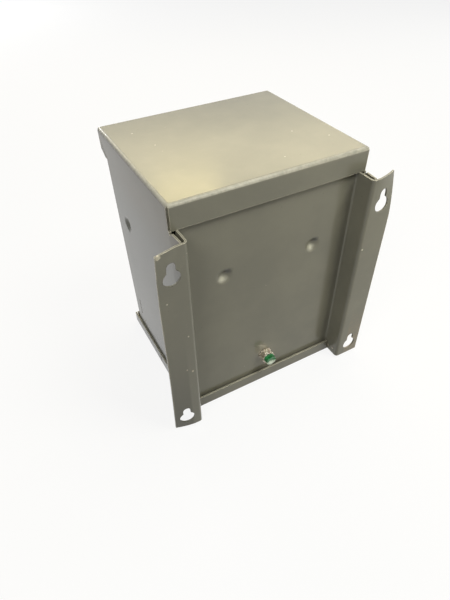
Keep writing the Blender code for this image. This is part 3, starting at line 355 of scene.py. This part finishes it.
def wall_film_and_reflection(g, colour, broad):
    """A film of dirt on the side walls, browner high up and bluish low, whose tints are partly a painted
    reflection.
    """
    x, _, height = g.split(g.place)
    across = g.math("ABSOLUTE", x)
    sideways = g.math("ABSOLUTE", g.split(g.face_normal())[0])
    wall = g.product(g.zone(across, WALL_INSIDE), g.zone(across, WALL_OUTSIDE))
    wall = g.product(wall, g.ramp(sideways, WALL_SIDEWAYS))
    film_and_reflection = g.mix(g.zone(height, FILM_AND_REFLECTION_TURN_BROWN), FILM_AND_REFLECTION_LOW, FILM_AND_REFLECTION_HIGH)
    return g.lay(colour, film_and_reflection, wall, g.ramp(broad, MOST, (0.45, 0.65)))


def flange_painted_tone(g, colour, side, heights, painted_tone, share):
    """A painted tone low on the flange of one side, which is 1 for the left and -1 for the right: painted
    shade on the left, painted light on the right.
    """
    x, _, height = g.split(g.place)
    low = g.product(g.zone(g.product(x, side), FLANGE_ACROSS), g.zone(height, heights))
    return g.lay(colour, painted_tone, low, share)


def painted_bend_highlight(g, colour, fine):
    """A painted highlight: the lid's bends made pale along their length."""
    height = g.split(g.place)[2]
    upward = g.split(g.face_normal())[2]
    bend = g.product(g.ramp(upward, BEND_FROM_TOP), g.ramp(upward, BEND_FROM_LIP))
    bend = g.product(bend, g.zone(height, LID_BENDS))
    return g.lay(colour, BEND_HIGHLIGHT_PALE, bend, g.ramp(fine, (0.30, 0.62), (0.45, 0.80)))


def cut_edges(g, colour, wobble):
    """Cut edges painted pale, partly as bare metal and partly as a painted highlight, with painted shade
    inside the keyholes instead.
    """
    cut = g.edge(g.rounded_normal(0.85), (0.02, 0.11))
    inside = g.marks(KEYHOLES, wobble)
    worn = g.product(cut, g.ramp(wobble, (0.25, 0.55), (0.60, 1.0)))
    colour = g.lay(colour, BARE_METAL_AND_EDGE_HIGHLIGHT, g.product(worn, g.math("SUBTRACT", 1.0, inside)), 0.95)
    # Painted shade on the cut edges inside the keyholes
    return g.lay(colour, GRIME_AND_SHADE, g.product(cut, inside), 0.6)


def chipped(g, colour, chips, fine):
    """Chips down to pale metal, with rust in them."""
    colour = g.lay(colour, BARE_METAL_AND_EDGE_HIGHLIGHT, chips, 0.85)
    return g.lay(colour, RUST, g.product(chips, g.ramp(fine, (0.50, 0.66))), 0.75)


def marked(g, colour, wobble):
    """Specks and smudges, and the painted shade and painted highlight of the dimples."""
    colour = g.lay(colour, SPECK, g.marks(LID_SPECKS, wobble), 0.6)
    colour = g.lay(colour, SPECKLE, g.speckles(spacing=11.0, radius=0.32, share=0.30), 0.55)
    colour = g.lay(colour, GRIME_AND_SHADE, g.speckles(spacing=8.0, radius=0.30, share=0.25), 0.55)
    colour = g.lay(colour, GRIME_AND_SHADE, g.marks(WALL_SMUDGES, wobble), 0.6)
    # Painted shade on the dimples' upper sides, and a painted highlight on their lower sides
    colour = g.lay(colour, GRIME_AND_SHADE, g.marks(DIMPLE_PAINTED_SHADE, wobble, SOFT), 0.85)
    return g.lay(colour, DIMPLE_HIGHLIGHT_PALE, g.marks(DIMPLE_PAINTED_HIGHLIGHTS, wobble, SOFT), 0.75)


def enamel():
    """Semi-gloss grey enamel on sheet steel, with worn edges, chips and dust, and with painted shade,
    painted highlights and painted reflection tints.
    """
    g = new_material("worn_grey_enamel")
    broad = g.noise(55.0, detail=3.0, roughness=0.55)
    fine = g.noise(3.5, detail=3.0, roughness=0.6)
    wobble = g.noise(1.4, detail=3.0, roughness=0.6)
    chips = g.marks(CHIPS, wobble)

    colour = base_coat(g, broad, fine)
    colour = wall_film_and_reflection(g, colour, broad)
    # Painted shade low on the left flange, and painted light low on the right one
    colour = flange_painted_tone(g, colour, 1, LEFT_FLANGE_PAINTED_SHADE, GRIME_AND_SHADE, g.ramp(broad, MOST, (0.36, 0.50)))
    colour = flange_painted_tone(g, colour, -1, RIGHT_FLANGE_PAINTED_LIGHT, WARM_PAINTED_LIGHT, g.ramp(fine, MOST, (0.20, 0.50)))
    colour = painted_bend_highlight(g, colour, fine)
    colour = cut_edges(g, colour, wobble)
    colour = chipped(g, colour, chips, fine)
    colour = marked(g, colour, wobble)

    roughness = g.ramp(g.noise(20.0, detail=3.0), (0.25, 0.75), (0.17, 0.20))
    roughness = g.math("ADD", roughness, g.product(chips, 0.20))
    orange_peel = g.math("ADD", g.noise(1.2), g.product(chips, -0.5))
    normal = g.bump(orange_peel, 0.014, g.rounded_normal(0.35))
    return g.principled(Base_Color=colour, Roughness=roughness, Normal=normal, IOR=1.38)


def plated(name, tones, roughness, tint=None):
    """Plated or bare metal: blotches, bright edges and a fine grain."""
    g = new_material(name)
    light, dark = tones
    blotch = g.noise(2.2, detail=4.0, roughness=0.6)
    rounded = g.rounded_normal(0.25)
    colour = g.mix(g.ramp(blotch, TONES), dark, light)
    if tint:
        colour = g.lay(colour, tint, g.ramp(g.noise(3.8), (0.56, 0.70)), 0.7)
    bright = tuple(min(1.0, v * EDGE_SHINE) for v in light)
    colour = g.lay(colour, bright, g.edge(rounded, (0.05, 0.20)), 0.6)
    rough = g.ramp(blotch, MOST, (roughness - 0.07, roughness + 0.10))
    normal = g.bump(g.noise(0.5, roughness=0.6), 0.010, rounded)
    return g.principled(Base_Color=colour, Metallic=1.0, Roughness=rough, Normal=normal)


def green_screw():
    """Green dye on the ground screw's head, thin on its edges, with a painted highlight low on its end face.
    """
    g = new_material("ground_screw_green")
    light, dark = GREEN_DYE
    blotch = g.noise(3.0, detail=3.0, roughness=0.6)
    rounded = g.rounded_normal(0.30)
    colour = g.mix(g.ramp(blotch, (0.35, 0.70)), dark, light)
    worn = g.product(g.edge(rounded, (0.04, 0.20)), g.ramp(g.noise(1.6), (0.40, 0.62)))
    colour = g.lay(colour, GREEN_THIN, worn, 0.6)
    _, y, height = g.split(g.place)
    end_face = g.zone(y, (HEAD_FACE - 0.5, HEAD_FACE - 0.1))
    lower_half = g.zone(height, (HEAD_MIDDLE + 0.6, HEAD_MIDDLE - 1.6))
    patchy = g.ramp(blotch, (0.2, 0.5), (0.6, 0.95))
    # Painted highlight on the lower half of the end face
    colour = g.lay(colour, GREEN_SCREW_GLARE, g.product(end_face, lower_half), patchy)
    rough = g.ramp(blotch, MOST, (0.20, 0.34))
    normal = g.bump(g.noise(0.7), 0.010, rounded)
    return g.principled(Base_Color=colour, Roughness=rough, Normal=normal, IOR=1.5,
                        Coat_Weight=0.5, Coat_Roughness=0.12)


def matt(name, tones, size, roughness, depth):
    """Plastic, paper or compound: a two-tone grain of the size given, with its own relief."""
    g = new_material(name)
    light, dark = tones
    grain = g.noise(size, detail=4.0, roughness=0.6)
    colour = g.mix(g.ramp(grain, TONES), dark, light)
    rough = g.ramp(grain, MOST, (roughness - 0.06, roughness + 0.08))
    return g.principled(Base_Color=colour, Roughness=rough, Normal=g.bump(grain, depth))


def finishes():
    """The material of each slot that the CAD nodes have."""
    return {
        "grey_paint": enamel(),
        "zinc_plate": plated("bright_zinc", BRIGHT_ZINC, 0.32),
        "yellow_zinc": plated("yellow_zinc_plating", YELLOW_ZINC, 0.30, YELLOW_ZINC_TINT),
        "ground_green": green_screw(),
        "core_steel": plated("laminated_steel", CORE_STEEL, 0.45),
        "enamelled_copper": plated("enamelled_wire", COPPER_WIRE, 0.30),
        "insulation_paper": matt("aramid_paper", PAPER, size=4.0, roughness=0.78, depth=0.03),
        "moulded_nylon": matt("moulded_nylon_grain", NYLON, size=0.8, roughness=0.45, depth=0.01),
        "potting_compound": matt("sand_and_resin", COMPOUND, size=1.2, roughness=0.70, depth=0.08),
        "lead_black": matt("black_sleeve", BLACK_SLEEVE, size=3.0, roughness=0.42, depth=0.01),
        "lead_red": matt("red_sleeve", RED_SLEEVE, size=3.0, roughness=0.42, depth=0.01),
    }


def smooth(piece):
    """Smooth bends and rounds, keep edges sharp and flat faces flat."""
    mesh = piece.data
    if "custom_normal" in mesh.attributes:
        mesh.attributes.remove(mesh.attributes["custom_normal"])
    mesh.shade_smooth()
    weld = piece.modifiers.new("weld", "WELD")
    weld.merge_threshold = WELD_DISTANCE
    split = piece.modifiers.new("sharp edges", "EDGE_SPLIT")
    split.split_angle = SHARP_ANGLE
    split.use_edge_sharp = False
    weighted = piece.modifiers.new("flat faces stay flat", "WEIGHTED_NORMAL")
    weighted.weight = FLAT_WEIGHT
    weighted.keep_sharp = True


def dress(frame):
    """Smooth the CAD nodes and give their slots the finishes."""
    made = finishes()
    for piece in frame["nodes"].values():
        smooth(piece)
        slots = piece.data.materials
        for index, slot in enumerate(slots):
            slots[index] = made[slot.name.split(".")[0]]


def add_object(name, data):
    made = bpy.data.objects.new(name, data)
    bpy.context.scene.collection.objects.link(made)
    return made


def aim(direction):
    """Rotation that points a camera or lamp along the direction."""
    return direction.to_track_quat("-Z", "Y")


def place_camera():
    """The photograph's camera."""
    azimuth, elevation = math.radians(AZIMUTH), math.radians(ELEVATION)
    level = math.cos(elevation)
    view = Vector((-math.sin(azimuth) * level, math.cos(azimuth) * level, -math.sin(elevation)))
    data = bpy.data.cameras.new("view")
    data.lens = LENS
    data.sensor_fit = "VERTICAL"
    data.sensor_height = SENSOR_HEIGHT
    data.clip_start = CLIP_START
    camera = add_object("view", data)
    roll = Matrix.Rotation(math.radians(-ROLL), 4, "Z")
    camera.matrix_world = Matrix.Translation(CAMERA_PLACE) @ aim(view).to_matrix().to_4x4() @ roll
    bpy.context.scene.camera = camera


def light_scene(middle):
    """Soft boxes round the object, which the camera doesn't see."""
    for name, (place, size, power, colour) in LAMPS.items():
        data = bpy.data.lights.new(name, "AREA")
        data.shape = "RECTANGLE"
        data.size, data.size_y = size
        data.energy = power
        data.color = colour
        lamp = add_object(name, data)
        lamp.location = place
        lamp.rotation_euler = aim(middle - Vector(place)).to_euler()
        lamp.visible_camera = False


def pale_floor():
    """White where it is seen, with the object's shadow; plain pale for the light it throws back."""
    g = new_material("pale_floor")
    pale, shadowed = [g.node("ShaderNodeBsdfDiffuse", [("Color", (grey, grey, grey, 1))])
                      for grey in (FLOOR_BOUNCE, FLOOR_SEEN)]
    glow = g.node("ShaderNodeEmission", [("Strength", 1.0)])
    return g.finish(g.blend(g.seen(), pale, g.blend(FLOOR_GLOW, shadowed, glow)))


def build_floor(middle):
    mesh = bpy.data.meshes.new("floor")
    corners = [(middle.x + FLOOR_HALF * x, middle.y + FLOOR_HALF * y, 0)
               for x, y in ((-1, -1), (1, -1), (1, 1), (-1, 1))]
    mesh.from_pydata(corners, [], [(0, 1, 2, 3)])
    floor = add_object("floor", mesh)
    mesh.materials.append(pale_floor())


def build_sky():
    """White where it is seen, with a little plain light on the object."""
    g = Graph(bpy.data.worlds.new("plain sky"))
    sky, white = [g.node("ShaderNodeBackground", [("Color", (1, 1, 1, 1)), ("Strength", strength)])
                  for strength in (SKY_LIGHT, 1.0)]
    bpy.context.scene.world = g.finish(g.blend(g.seen(), sky, white), "ShaderNodeOutputWorld")


def clear_scene():
    for old in list(bpy.data.objects):
        bpy.data.objects.remove(old, do_unlink=True)


clear_scene()
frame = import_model()
cad_box = [list(corner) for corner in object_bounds()]
middle = (Vector(cad_box[0]) + Vector(cad_box[1])) / 2
dress(frame)
build_floor(middle)
build_sky()
light_scene(middle)
place_camera()
bpy.context.scene.view_settings.view_transform = "Standard"
